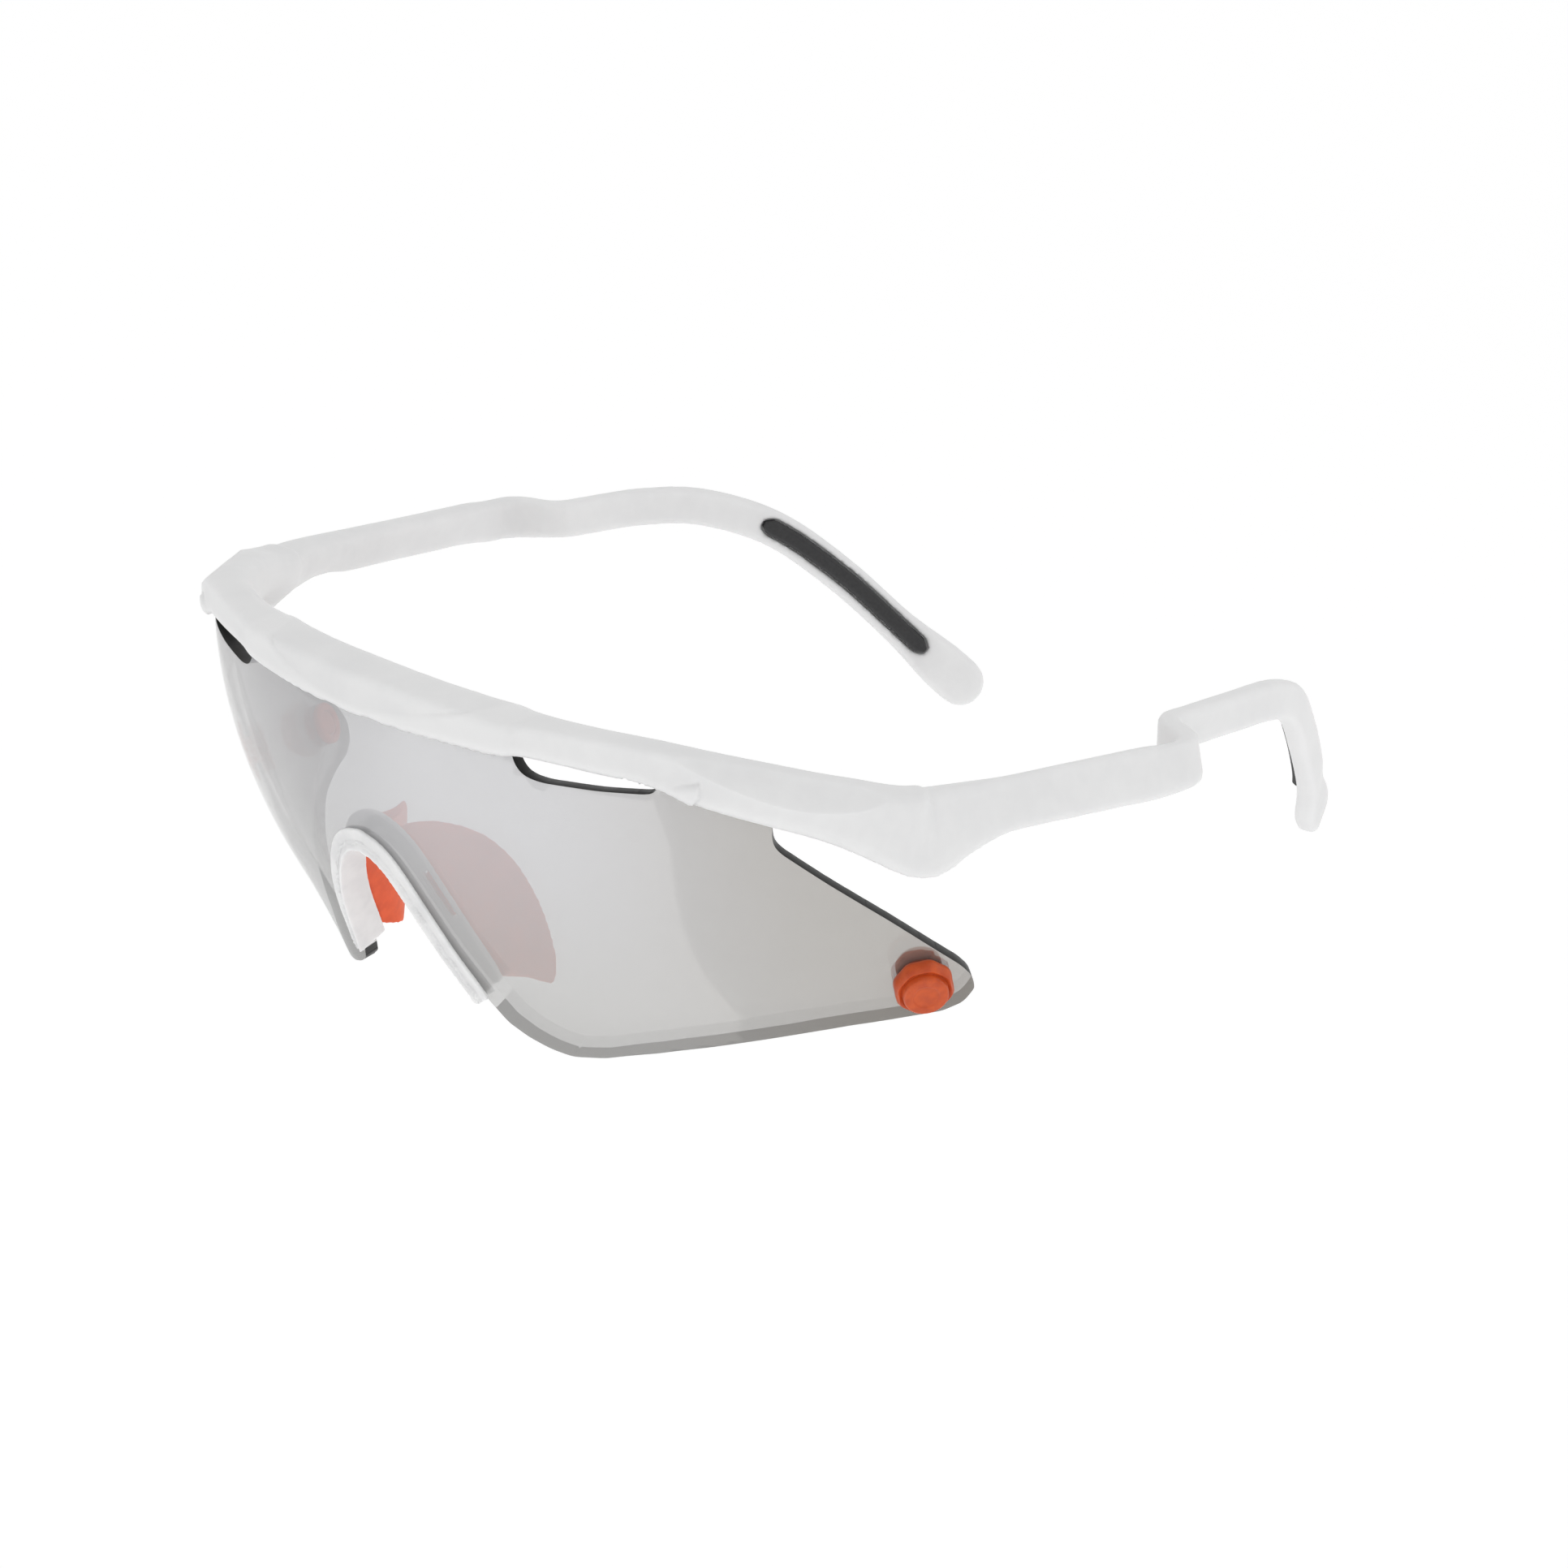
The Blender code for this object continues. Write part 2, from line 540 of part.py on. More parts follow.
def make_stud(side, word, home, cutters, material):
    place = stud_frame(side)
    base = CLEARANCE
    top = base + STUD_HEIGHT
    crown = top + STUD_BUTTON_HEIGHT
    profile = [(SHANK_RADIUS, -SHANK_LENGTH), (SHANK_RADIUS, base), (STUD_RADIUS - 0.2 * MM, base),
               (STUD_RADIUS, base + 0.3 * MM), (STUD_RADIUS, top - 0.5 * MM),
               (STUD_RADIUS - 0.5 * MM, top), (STUD_BUTTON_RADIUS, top),
               (STUD_BUTTON_RADIUS, crown - 0.3 * MM), (STUD_BUTTON_RADIUS - 0.3 * MM, crown)]
    stud = turned("stud_" + word, profile, place, home, material)
    back = -LENS_THICKNESS - CLEARANCE
    cap = turned("stud_cap_" + word, [(CAP_RADIUS, back), (CAP_RADIUS, back - CAP_THICKNESS + 0.3 * MM),
                                      (CAP_RADIUS - 0.4 * MM, back - CAP_THICKNESS)],
                 place, home, material)
    cut(cap, turned("stud_bore_" + word, [(SHANK_RADIUS + 0.1 * MM, 1 * MM),
                                          (SHANK_RADIUS + 0.1 * MM, -SHANK_LENGTH - 0.1 * MM)],
                    place, cutters))
    hole = turned("lens_hole_" + word, [(SHANK_RADIUS + 0.2 * MM, 3 * MM),
                                        (SHANK_RADIUS + 0.2 * MM, -5 * MM)], place, cutters)
    return [stud, cap], hole


# ---------------------------------------------------------------- build

def carrier(name, spot, things, home):
    """An empty on a joint's axis that carries the pieces which move together."""
    empty = bpy.data.objects.new(name, None)
    empty.location = spot
    empty.empty_display_size = 5 * MM
    home.objects.link(empty)
    for thing in things:
        thing.parent = empty
        thing.location = -spot
    return empty


def build():
    clear_scene()
    sunglasses = new_collection("sport_sunglasses")
    cutters = new_collection("cutters")
    frame_finish = finish("frosted_frame", (0.72, 0.73, 0.73), 0.45)
    lens_finish = finish("tinted_lens", (0.30, 0.30, 0.29), 0.05, transmission=0.8, alpha=0.6)
    clip_finish = finish("frosted_clip", (0.78, 0.79, 0.79), 0.45)
    pad_finish = finish("orange_pad", (0.72, 0.10, 0.03), 0.6)
    stud_finish = finish("orange_stud", (0.58, 0.095, 0.018), 0.35)
    grip_finish = finish("black_grip", (0.03, 0.03, 0.03), 0.7)

    make_frame(sunglasses, cutters, frame_finish)
    lens = make_lens(sunglasses, lens_finish)
    on_lens = [lens]
    on_clip = [make_clip(sunglasses, cutters, clip_finish)]
    for side, word in ((1, "left"), (-1, "right")):
        on_clip.append(make_pad("nose_pad_" + word, side, sunglasses, cutters, pad_finish))
        pieces, hole = make_stud(side, word, sunglasses, cutters, stud_finish)
        cut(lens, hole)
        on_lens += pieces
        grip_strip("grip_" + word, side, 0.0, sunglasses, grip_finish)
    slide = carrier("lens_slide", formed(0, 0), on_lens, sunglasses)
    drop_centre = Matrix.Rotation(-LENS_TILT, 3, "X") @ Vector((0, DROP_RADIUS, 0))
    drop_centre += Vector((0, -LENS_FRONT, LENS_EQUATOR))
    hinge = carrier("nose_clip_hinge", drop_centre, on_clip, sunglasses)
    hinge.parent = slide
    hinge.location -= slide.location
    for thing in cutters.objects:
        thing.hide_render = True
        thing.display_type = "WIRE"


build()
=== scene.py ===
"""Wraparound sport sunglasses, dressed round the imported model: a one-piece frosted frame,
a grey shield lens, an arched nose clip with two soft pads, two lens studs with their inner
caps, and two grips let into the ear stems. Metres, +Z up, the front faces -Y."""
import math

import bpy
import numpy as np
from mathutils import Matrix, Vector
from mathutils.bvhtree import BVHTree


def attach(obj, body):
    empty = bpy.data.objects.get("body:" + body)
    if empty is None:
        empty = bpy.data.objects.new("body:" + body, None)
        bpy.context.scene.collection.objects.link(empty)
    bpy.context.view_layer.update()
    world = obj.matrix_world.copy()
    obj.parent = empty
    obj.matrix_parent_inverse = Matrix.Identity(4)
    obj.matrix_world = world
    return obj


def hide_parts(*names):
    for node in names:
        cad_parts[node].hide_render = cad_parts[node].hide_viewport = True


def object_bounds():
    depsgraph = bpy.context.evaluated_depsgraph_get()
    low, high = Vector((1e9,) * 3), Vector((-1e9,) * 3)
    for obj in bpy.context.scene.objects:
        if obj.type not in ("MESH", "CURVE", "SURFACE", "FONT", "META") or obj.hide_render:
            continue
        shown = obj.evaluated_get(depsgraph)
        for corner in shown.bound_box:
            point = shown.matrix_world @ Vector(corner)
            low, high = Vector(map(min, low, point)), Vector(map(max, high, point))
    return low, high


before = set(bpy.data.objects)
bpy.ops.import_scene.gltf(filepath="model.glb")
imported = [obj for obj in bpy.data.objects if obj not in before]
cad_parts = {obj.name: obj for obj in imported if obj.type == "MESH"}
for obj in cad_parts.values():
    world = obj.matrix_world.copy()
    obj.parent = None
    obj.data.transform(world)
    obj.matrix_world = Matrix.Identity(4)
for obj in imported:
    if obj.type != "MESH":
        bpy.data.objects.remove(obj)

cad_box = [list(corner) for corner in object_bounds()]
MM = 0.001


# ---------------------------------------------------------------- floor, light and camera
# A plain pale floor well below the glasses, an even white room that is a little darker
# overhead, one soft key from the front right and a bounce card low in front of the lens.

FLOOR_DROP = 0.42
FLOOR_SIZE = 60.0
FLOOR_WHITE, FLOOR_SHADE = (0.97, 0.97, 0.97), (0.955, 0.955, 0.955)
FLOOR_GLOW = 0.17
ROOM_LEVEL, ROOM_OVERHEAD = 0.90, 0.84
KEY_POWER, KEY_SIZE, KEY_SPOT = 2.0, 0.9, (1.3, -0.55, 0.55)
CARD_LEVEL, CARD_DROP = 1.30, -0.235
CARD_CORNERS = [(0.030, 0.0), (-0.322, 0.045), (-0.620, -0.400), (-0.860, -0.760),
                (0.126, -0.760), (0.116, -0.300)]
CARD_INWARDS, CARD_FADE, CARD_DIM = (0.828, -0.561), (-0.27, 0.02), (0.77, 0.77, 0.77)
CAMERA_SPOT = (0.59573, -0.45274, 0.22943)
CAMERA_RIGHT = (0.648179, 0.761017, 0.026797)
CAMERA_UP = (-0.250335, 0.179719, 0.951332)
CAMERA_BACK = (0.719164, -0.623342, 0.306999)
SENSOR_WIDTH, FOCAL_LENGTH = 36.0, 136.59


class Wire:
    """An output of a material's nodes, which sums and products take like a number."""

    def __init__(self, tree, socket=None):
        self.tree, self.socket = tree, socket

    def add(self, kind, settings, sockets, output=0):
        node = self.tree.nodes.new(kind)
        for key, value in settings.items():
            setattr(node, key, value)
        for key, value in sockets.items():
            if isinstance(value, Wire):
                self.tree.links.new(value.socket, node.inputs[key])
            else:
                node.inputs[key].default_value = value
        return Wire(self.tree, node.outputs[output])

    def sum(self, operation, first, second):
        return self.add("ShaderNodeMath", {"operation": operation}, {0: first, 1: second})

    def __add__(self, other):
        return self.sum("ADD", self, other)

    def __radd__(self, other):
        return self.sum("ADD", other, self)

    def __sub__(self, other):
        return self.sum("SUBTRACT", self, other)

    def __rsub__(self, other):
        return self.sum("SUBTRACT", other, self)

    def __mul__(self, other):
        return self.sum("MULTIPLY", self, other)

    def __rmul__(self, other):
        return self.sum("MULTIPLY", other, self)

    def place(self, axis=None):
        """Where a point lies on the object, all of it or one axis."""
        spot = self.add("ShaderNodeTexCoord", {}, {}, "Object")
        if axis is None:
            return spot
        return self.add("ShaderNodeSeparateXYZ", {}, {0: spot}, "XYZ".index(axis))

    def noise(self, scale, detail=2.0, spot=None):
        return self.add("ShaderNodeTexNoise", {}, {"Vector": spot or self.place(),
                                                   "Scale": scale, "Detail": detail})

    def ease(self, value, low, high):
        """0 below low and 1 above high, smooth between; low may be the larger."""
        return self.add("ShaderNodeMapRange", {"interpolation_type": "SMOOTHSTEP"},
                        {"Value": value, "From Min": low, "From Max": high})

    def blend(self, factor, first, second):
        """One colour passing into another."""
        ends = {0: factor, 6: first if isinstance(first, Wire) else (*first, 1.0),
                7: second if isinstance(second, Wire) else (*second, 1.0)}
        return self.add("ShaderNodeMix", {"data_type": "RGBA"}, ends, 2)

    def bump(self, height, strength, distance):
        return self.add("ShaderNodeBump", {}, {"Height": height, "Strength": strength,
                                               "Distance": distance})


def new_finish(name, constants):
    """A named finish, its shader, and a wire to draw its pattern with."""
    made = bpy.data.materials.new(name)
    made.use_nodes = True
    shader = made.node_tree.nodes["Principled BSDF"]
    for socket, value in constants.items():
        shader.inputs[socket].default_value = value
    return made, shader, Wire(made.node_tree)


def feed(shader, **wires):
    for socket, wire in wires.items():
        name = socket.replace("_", " ")
        shader.id_data.links.new(wire.socket, shader.inputs[name])


def only(thing):
    """Makes one object the only one that operators act on."""
    if bpy.context.object and bpy.context.object.mode != "OBJECT":
        bpy.ops.object.mode_set(mode="OBJECT")
    bpy.ops.object.select_all(action="DESELECT")
    bpy.context.view_layer.objects.active = thing
    thing.select_set(True)
    return thing


floor_z = cad_box[0][2] - FLOOR_DROP
bpy.ops.object.select_all(action="DESELECT")
bpy.ops.mesh.primitive_grid_add(x_subdivisions=8, y_subdivisions=8, size=FLOOR_SIZE,
                                location=(0, 0, floor_z))
floor = bpy.context.object
floor.name = "floor"
floor_finish, shader, wire = new_finish(
    "floor_finish", {"Roughness": 0.85, "Emission Color": (1, 1, 1, 1),
                     "Emission Strength": FLOOR_GLOW})
feed(shader, Base_Color=wire.blend(wire.noise(0.8), FLOOR_SHADE, FLOOR_WHITE))
floor.data.materials.append(floor_finish)

room = bpy.data.worlds.new("room")
bpy.context.scene.world = room
room.use_nodes = True
sky = Wire(room.node_tree)
height = sky.add("ShaderNodeTexCoord", {}, {}, "Generated")
height = sky.add("ShaderNodeSeparateXYZ", {}, {0: height}, 2)
level = ROOM_LEVEL - (ROOM_LEVEL - ROOM_OVERHEAD) * sky.ease(height, 0.15, 0.9)
room.node_tree.links.new(level.socket, room.node_tree.nodes["Background"].inputs["Strength"])
room.node_tree.nodes["Background"].inputs["Color"].default_value = (1, 1, 1, 1)


def soft_light(name, power, size, spot, aim):
    lamp = bpy.data.lights.new(name, "AREA")
    lamp.shape = "RECTANGLE"
    lamp.size, lamp.size_y = size
    lamp.energy = power
    made = bpy.data.objects.new(name, lamp)
    bpy.context.scene.collection.objects.link(made)
    face = (Vector(aim) - Vector(spot)).to_track_quat("-Z", "Y").to_matrix().to_4x4()
    made.matrix_world = Matrix.Translation(spot) @ face
    made.visible_camera = False


soft_light("key", KEY_POWER, (KEY_SIZE, KEY_SIZE), KEY_SPOT, (0, 0.03, -0.02))
sheet = bpy.data.meshes.new("bounce_card")
sheet.from_pydata([(x, y, CARD_DROP) for x, y in CARD_CORNERS], [], [tuple(range(6))])
card = bpy.data.objects.new("bounce_card", sheet)
bpy.context.scene.collection.objects.link(card)
card_finish, shader, wire = new_finish("card_finish", {
    "Base Color": (0, 0, 0, 1), "Emission Color": (1, 1, 1, 1),
    "Emission Strength": CARD_LEVEL})
inwards = CARD_INWARDS[0] * wire.place("X") + CARD_INWARDS[1] * wire.place("Y")
feed(shader, Emission_Color=wire.blend(wire.ease(inwards, *CARD_FADE), CARD_DIM, (1, 1, 1)))
card.data.materials.append(card_finish)
card.visible_camera = card.visible_diffuse = card.visible_shadow = False
card.visible_transmission = False

camera = bpy.data.objects.new("camera", bpy.data.cameras.new("camera"))
bpy.context.scene.collection.objects.link(camera)
aim = Matrix((CAMERA_RIGHT, CAMERA_UP, CAMERA_BACK)).transposed().to_4x4()
aim.translation = CAMERA_SPOT
camera.matrix_world = aim
camera.data.sensor_width = SENSOR_WIDTH
camera.data.lens = FOCAL_LENGTH
camera.data.clip_start = 0.01
camera.data.clip_end = 200.0
bpy.context.scene.camera = camera
bpy.context.scene.view_settings.view_transform = "Standard"


# ---------------------------------------------------------------- frame
# One frosted, slightly see-through nylon moulding from ear to ear, with no hinge. A lip under
# the brow and two almond-shaped housings beside it hold the lens edge, the corners are
# chamfered, and the ejector pins leave a small round dent near each tip.

FRAME_MESH, FRAME_SOFTEN = 0.36 * MM, 3
WRAP_RADIUS, LENS_FRONT = 82.0 * MM, 10.9 * MM
LIP_WALL = 1.3 * MM
LIP_PROUD, HOUSING_PROUD = 0.09 * MM, 0.42 * MM

# The shaping below is in millimetres, out from the middle, back from the front and up
LIP_TOP, LIP_ARCH, LIP_REGION = 0.55, 0.0075, 34
GROOVE_DROP, GROOVE_WIDTH, GROOVE_DEPTH = 0.25, 0.3, 0.24
BEADS, BEAD_PROUD = (((31.0, 1.0), 0.9), ((30.4, 3.6), 0.7)), 0.12
CREVICE_RISE, CREVICE_WIDTH, CREVICE_DEPTH = 0.2, 0.25, 0.34
CHAMFER_LINE, CHAMFER_OUT, CHAMFER_BACK = 43.0, 0.8, 0.6    # the top falls away past this line
CHAMFER_LOW, CHAMFER_FULL, CHAMFER_END = -6.0, -3.0, 40
DENT_SPOT, DENT_RADIUS, DENT_DEPTH = (35.2, 130.3, -30.4), 0.85, 0.22
FROST_LIGHT, FROST_DARK = (0.775, 0.775, 0.775), (0.735, 0.735, 0.738)
# Painted glow: the thin lip wall in front of the lens is coloured lighter to stand for light
# shining through it
LIP_PAINTED_GLOW = (0.79, 0.79, 0.79)
LIP_EDGE_UP, LIP_EDGE_OUT = [0.7, 1.7, 3.0, 3.8], [30.3, 29.2, 29.6, 28.2]
HOUSING_OUT = [48.5, 50.8, 54.1, 58.1, 61.3, 63.6, 65.0, 65.9]
HOUSING_TOP = [-1.2, -0.3, 0.44, 1.0, 1.16, 0.84, 0.39, -0.3]
HOUSING_LOW_OUT, HOUSING_LOW = [58.0, 60.6, 63.05, 64.5, 65.9], [-6.0, -2.4, -1.8, -1.2, -0.4]


def even_copy(node, name, grain, passes):
    """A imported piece's shape, merged, meshed evenly and softened as a moulding is."""
    made = bpy.data.objects.new(name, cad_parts[node].data.copy())
    bpy.context.scene.collection.objects.link(made)
    made.data.materials.clear()
    only(made)
    bpy.ops.object.mode_set(mode="EDIT")
    bpy.ops.mesh.select_all(action="SELECT")
    bpy.ops.mesh.remove_doubles(threshold=1e-6)
    bpy.ops.object.mode_set(mode="OBJECT")
    even = made.modifiers.new("even", "REMESH")
    even.mode, even.voxel_size = "VOXEL", grain
    bpy.ops.object.modifier_apply(modifier="even")
    soft = made.modifiers.new("soft", "SMOOTH")
    soft.factor, soft.iterations = 0.5, passes
    bpy.ops.object.modifier_apply(modifier="soft")
    bpy.ops.object.shade_smooth()
    return made


def points_of(thing):
    """Places and normals of a mesh, in millimetres, with X taken from the middle outwards."""
    count = len(thing.data.vertices)
    spots, normals = np.empty(count * 3), np.empty(count * 3)
    thing.data.vertices.foreach_get("co", spots)
    thing.data.vertex_normals.foreach_get("vector", normals)
    return spots.reshape(-1, 3) / MM, normals.reshape(-1, 3)


def push(thing, spots, normals, amount):
    moved = (spots + normals * amount[:, None]) * MM
    thing.data.vertices.foreach_set("co", moved.ravel())
    thing.data.update()


def ramp(value, low, high):
    share = np.clip((value - low) / (high - low), 0, 1)
    return share * share * (3 - 2 * share)


moulding = even_copy("frame", "frame_moulding", FRAME_MESH, FRAME_SOFTEN)
spots, normals = points_of(moulding)
out, depth, up = np.abs(spots[:, 0]), spots[:, 1], spots[:, 2]
outer_radius = (WRAP_RADIUS + LIP_WALL) / MM
face = (WRAP_RADIUS - LENS_FRONT) / MM - np.sqrt(np.maximum(outer_radius**2 - out**2, 0))
outside = ramp(-normals[:, 1], -0.1, 0.35) * (depth - face < 1.1) * (out < LIP_REGION)
lip_top = LIP_TOP + LIP_ARCH * out**2
lip_end = np.interp(up, LIP_EDGE_UP, LIP_EDGE_OUT)
lip = outside * ramp(lip_top - up, -0.1, 0.45) * ramp(lip_end - out, -0.1, 0.25)
groove = (outside * np.exp(-((lip_top - up + GROOVE_DROP) / GROOVE_WIDTH) ** 2)
          * ramp(out, 12, 22) * (out < lip_end))
beads = outside * sum(np.exp(-((out - a) ** 2 + (up - b) ** 2) / spread)
                      for (a, b), spread in BEADS)
top = np.interp(out, HOUSING_OUT, HOUSING_TOP)
low = np.interp(out, HOUSING_LOW_OUT, HOUSING_LOW)
facing = ramp(normals[:, 0] * np.sign(spots[:, 0]) * 0.6 - normals[:, 1] * 0.8, 0.1, 0.5)
near_face = (depth < 4.0 + 0.62 * (out - 56)) | (depth < 3.0)
housing = (facing * near_face * ramp(out, 48.5, 53.0) * (out < 66.2)
           * ramp(top - up, -0.05, 0.5) * ramp(up - low, -0.1, 1.0))
crevice = (facing * near_face * np.exp(-((up - top - CREVICE_RISE) / CREVICE_WIDTH) ** 2)
           * ramp(out, 50.0, 55.0) * ramp(-out, -65.0, -61.0))
past = up + CHAMFER_OUT * out - CHAMFER_BACK * depth - CHAMFER_LINE
fall = past * ramp(past, 0.0, 0.01) * (depth < CHAMFER_END)
from_dent = np.linalg.norm(np.column_stack([out, depth, up]) - DENT_SPOT, axis=1)
dent = ramp(-from_dent, -DENT_RADIUS, -DENT_RADIUS * 0.6)
spots[:, 2] -= fall * ramp(up, CHAMFER_LOW, CHAMFER_FULL)
push(moulding, spots, normals,
     lip * LIP_PROUD / MM - groove * GROOVE_DEPTH + beads * BEAD_PROUD
     + housing * HOUSING_PROUD / MM - crevice * CREVICE_DEPTH - dent * DENT_DEPTH)

frost, shader, wire = new_finish("frosted_frame_finish", {
    "Subsurface Weight": 0.55, "Subsurface Radius": (1.0, 1.0, 1.0),
    "Subsurface Scale": 1.6 * MM, "IOR": 1.5, "Specular IOR Level": 0.35})
clouds = wire.ease(wire.noise(85.0, 4.0), 0.32, 0.68)
flow = wire.ease(wire.noise(480.0, 3.0), 0.3, 0.7)
across, rise, back = wire.place("X"), wire.place("Z"), wire.place("Y")
# Painted glow: where the lip wall in front of the lens is thin, its colour is made lighter to
# stand for light shining through the frosted nylon
thin_lip_painted_glow = (wire.ease(across * across, (29.0 * MM) ** 2, (27.5 * MM) ** 2)
        * wire.ease(rise - LIP_ARCH / MM * across * across, 0.9 * MM, 0.3 * MM)
        * wire.ease(back, 0.0, -3.0 * MM))
body = wire.blend(clouds * 0.65 + flow * 0.35, FROST_DARK, FROST_LIGHT)
feed(shader, Base_Color=wire.blend(thin_lip_painted_glow * 0.7, body, LIP_PAINTED_GLOW),
     Roughness=0.40 + 0.14 * flow,
     Normal=wire.bump(wire.noise(2600.0, 2.0) + 0.4 * flow, 0.09, 0.12 * MM))
moulding.data.materials.append(frost)
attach(moulding, "frame")
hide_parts("frame")


# ---------------------------------------------------------------- lens
# One 2 mm shield of grey polycarbonate, cut flat to its outline and formed to a wide curve
# ear to ear and a tighter one brow to cheek. A thin mirror coat greys the face; its cut
# edges stay dark and show all round.

DROP_RADIUS, LENS_TILT, LENS_EQUATOR = 64.0 * MM, math.radians(4.6), 2.3 * MM
LENS_THICKNESS = 2.0 * MM
SHOULDER, SHOULDER_AT, SHOULDER_REACH = 3.2 * MM, 56.0 * MM, 22.0 * MM
CHEEK_FLARE, CHEEK_AT, CHEEK_REACH = 2.4 * MM, 28.0 * MM, 20.0 * MM
UPPER_EDGE = [(0, 0.1), (27.4, 0.1), (28.1, -0.3), (28.4, -2.0), (29.2, -3.6), (30.6, -4.6),
              (33.1, -4.9), (41.5, -4.2), (48.2, -3.3), (49.2, -2.7), (49.7, -0.3), (50.4, 0.2),
              (62.9, 0.2), (63.6, -0.2), (63.9, -7.2), (64.7, -8.6), (71.6, -12.9),
              (80.0, -17.9), (87.0, -22.3), (90.9, -24.7), (92.8, -26.4), (93.6, -28.3)]
LOWER_EDGE = [(93.5, -28.9), (92.6, -31.0), (89.9, -32.7), (85.6, -33.8), (77.0, -36.2),
              (68.3, -39.3), (55.8, -43.9), (47.2, -46.7), (37.8, -49.0), (31.6, -49.65),
              (27.4, -49.15), (23.2, -48.2), (19.6, -46.8), (16.8, -43.8), (13.6, -37.4),
              (10.8, -31.4), (8.0, -26.6), (5.6, -23.6), (3.0, -21.9), (0, -21.2)]
LENS_STEP = 1.6
TINT_MIDDLE, TINT_SIDE = (0.555, 0.555, 0.570), (0.415, 0.392, 0.360)
TINT_FOOT = (0.47, 0.465, 0.455)
EDGE_DARK, EDGE_LIGHT = (0.014, 0.014, 0.014), (0.036, 0.036, 0.035)
NOSE_RUN, NOSE_LOW, NOSE_HIGH = 15.2 * MM, -40 * MM, -12 * MM   # the edge that the clip covers
NOSE_DULL, NOSE_PALE = (0.72, 0.72, 0.72), (0.80, 0.80, 0.80)
SHEET_REACH = ((Vector((1, 0, 0)), 94), (Vector((0, 1, 0)), 52))


def formed(across, up, depth=0.0):
    """Where a point of the flat sheet lands once formed; depth runs from the front inwards."""
    turn, drop = across / WRAP_RADIUS, up / DROP_RADIUS
    swell = math.exp(-((abs(across) - SHOULDER_AT) / SHOULDER_REACH) ** 2)
    depth -= SHOULDER * swell * max(0.0, min(1.0, 1 + up / (38 * MM)))
    cheek = math.exp(-((abs(across) - CHEEK_AT) / CHEEK_REACH) ** 2)
    depth -= CHEEK_FLARE * cheek * max(0.0, min(1.0, (-up - 38 * MM) / (13 * MM))) ** 2
    reach = (WRAP_RADIUS - DROP_RADIUS) + (DROP_RADIUS - depth) * math.cos(drop)
    spot = Vector((reach * math.sin(turn), WRAP_RADIUS - reach * math.cos(turn),
                   (DROP_RADIUS - depth) * math.sin(drop)))
    return Matrix.Rotation(-LENS_TILT, 3, "X") @ spot + Vector((0, -LENS_FRONT, LENS_EQUATOR))


def rounded_outline(corners, longest, passes):
    """A closed outline with long runs split and every corner cut back to a curve."""
    split = []
    for start, end in zip(corners, corners[1:] + corners[:1]):
        count = max(1, math.ceil(math.dist(start, end) / longest))
        split += [Vector(start).lerp(Vector(end), i / count) for i in range(count)]
    for _ in range(passes):
        split = [p for start, end in zip(split, split[1:] + split[:1])
                 for p in (start.lerp(end, 0.25), start.lerp(end, 0.75))]
    return split


half = UPPER_EDGE + LOWER_EDGE
corners = half + [(-a, b) for a, b in reversed(half[1:-1])]
outline = rounded_outline(corners, 3.0, 3)
mesh = bpy.data.meshes.new("lens_shield")
mesh.from_pydata([(p.x, p.y, 0) for p in outline], [], [tuple(reversed(range(len(outline))))])
shield = bpy.data.objects.new("lens_shield", mesh)
bpy.context.scene.collection.objects.link(shield)
only(shield)
bpy.ops.object.mode_set(mode="EDIT")
for direction, reach in SHEET_REACH:
    for i in range(-int(reach / LENS_STEP), int(reach / LENS_STEP) + 1):
        bpy.ops.mesh.select_all(action="SELECT")
        bpy.ops.mesh.bisect(plane_co=direction * (i * LENS_STEP + 0.013), plane_no=direction)
bpy.ops.mesh.select_all(action="SELECT")
bpy.ops.mesh.remove_doubles(threshold=0.02)
bpy.ops.object.mode_set(mode="OBJECT")
for vertex in mesh.vertices:
    vertex.co = formed(vertex.co.x * MM, vertex.co.y * MM)
bpy.ops.object.mode_set(mode="EDIT")
bpy.ops.mesh.select_all(action="SELECT")
bpy.ops.mesh.normals_make_consistent(inside=False)
bpy.ops.object.mode_set(mode="OBJECT")
if mesh.polygons[len(mesh.polygons) // 2].normal.y > 0:
    mesh.flip_normals()
sheet = shield.modifiers.new("sheet", "SOLIDIFY")
sheet.thickness, sheet.offset, sheet.material_offset_rim = LENS_THICKNESS, -1.0, 1

tint, shader, wire = new_finish("tinted_lens_finish", {
    "Alpha": 0.575, "Metallic": 0.6, "IOR": 1.45})
across = wire.place("X")
foot = wire.ease(wire.place("Z"), -8.0 * MM, -44.0 * MM)
mist = wire.noise(26.0, 2.0)
side = wire.ease(across * across, (26.0 * MM) ** 2, (66.0 * MM) ** 2)
feed(shader, Base_Color=wire.blend(side * 0.92 + mist * 0.08,
                                   wire.blend(foot, TINT_MIDDLE, TINT_FOOT), TINT_SIDE),
     Roughness=0.04 + 0.05 * wire.noise(140.0, 3.0))
cut_edge, shader, wire = new_finish("lens_edge_finish", {"Specular IOR Level": 0.12})
strokes = wire.noise(900.0, 3.0)
feed(shader, Base_Color=wire.blend(strokes, EDGE_DARK, EDGE_LIGHT),
     Roughness=0.28 + 0.2 * strokes,
     Normal=wire.bump(strokes, 0.12, 0.05 * MM))
shield.data.materials.append(tint)
shield.data.materials.append(cut_edge)
pale_edge, shader, wire = new_finish("lens_nose_edge_finish", {"Roughness": 0.6, "Alpha": 0.5})
feed(shader, Base_Color=wire.blend(wire.noise(900.0, 3.0), NOSE_DULL, NOSE_PALE))
shield.data.materials.append(pale_edge)
only(shield)
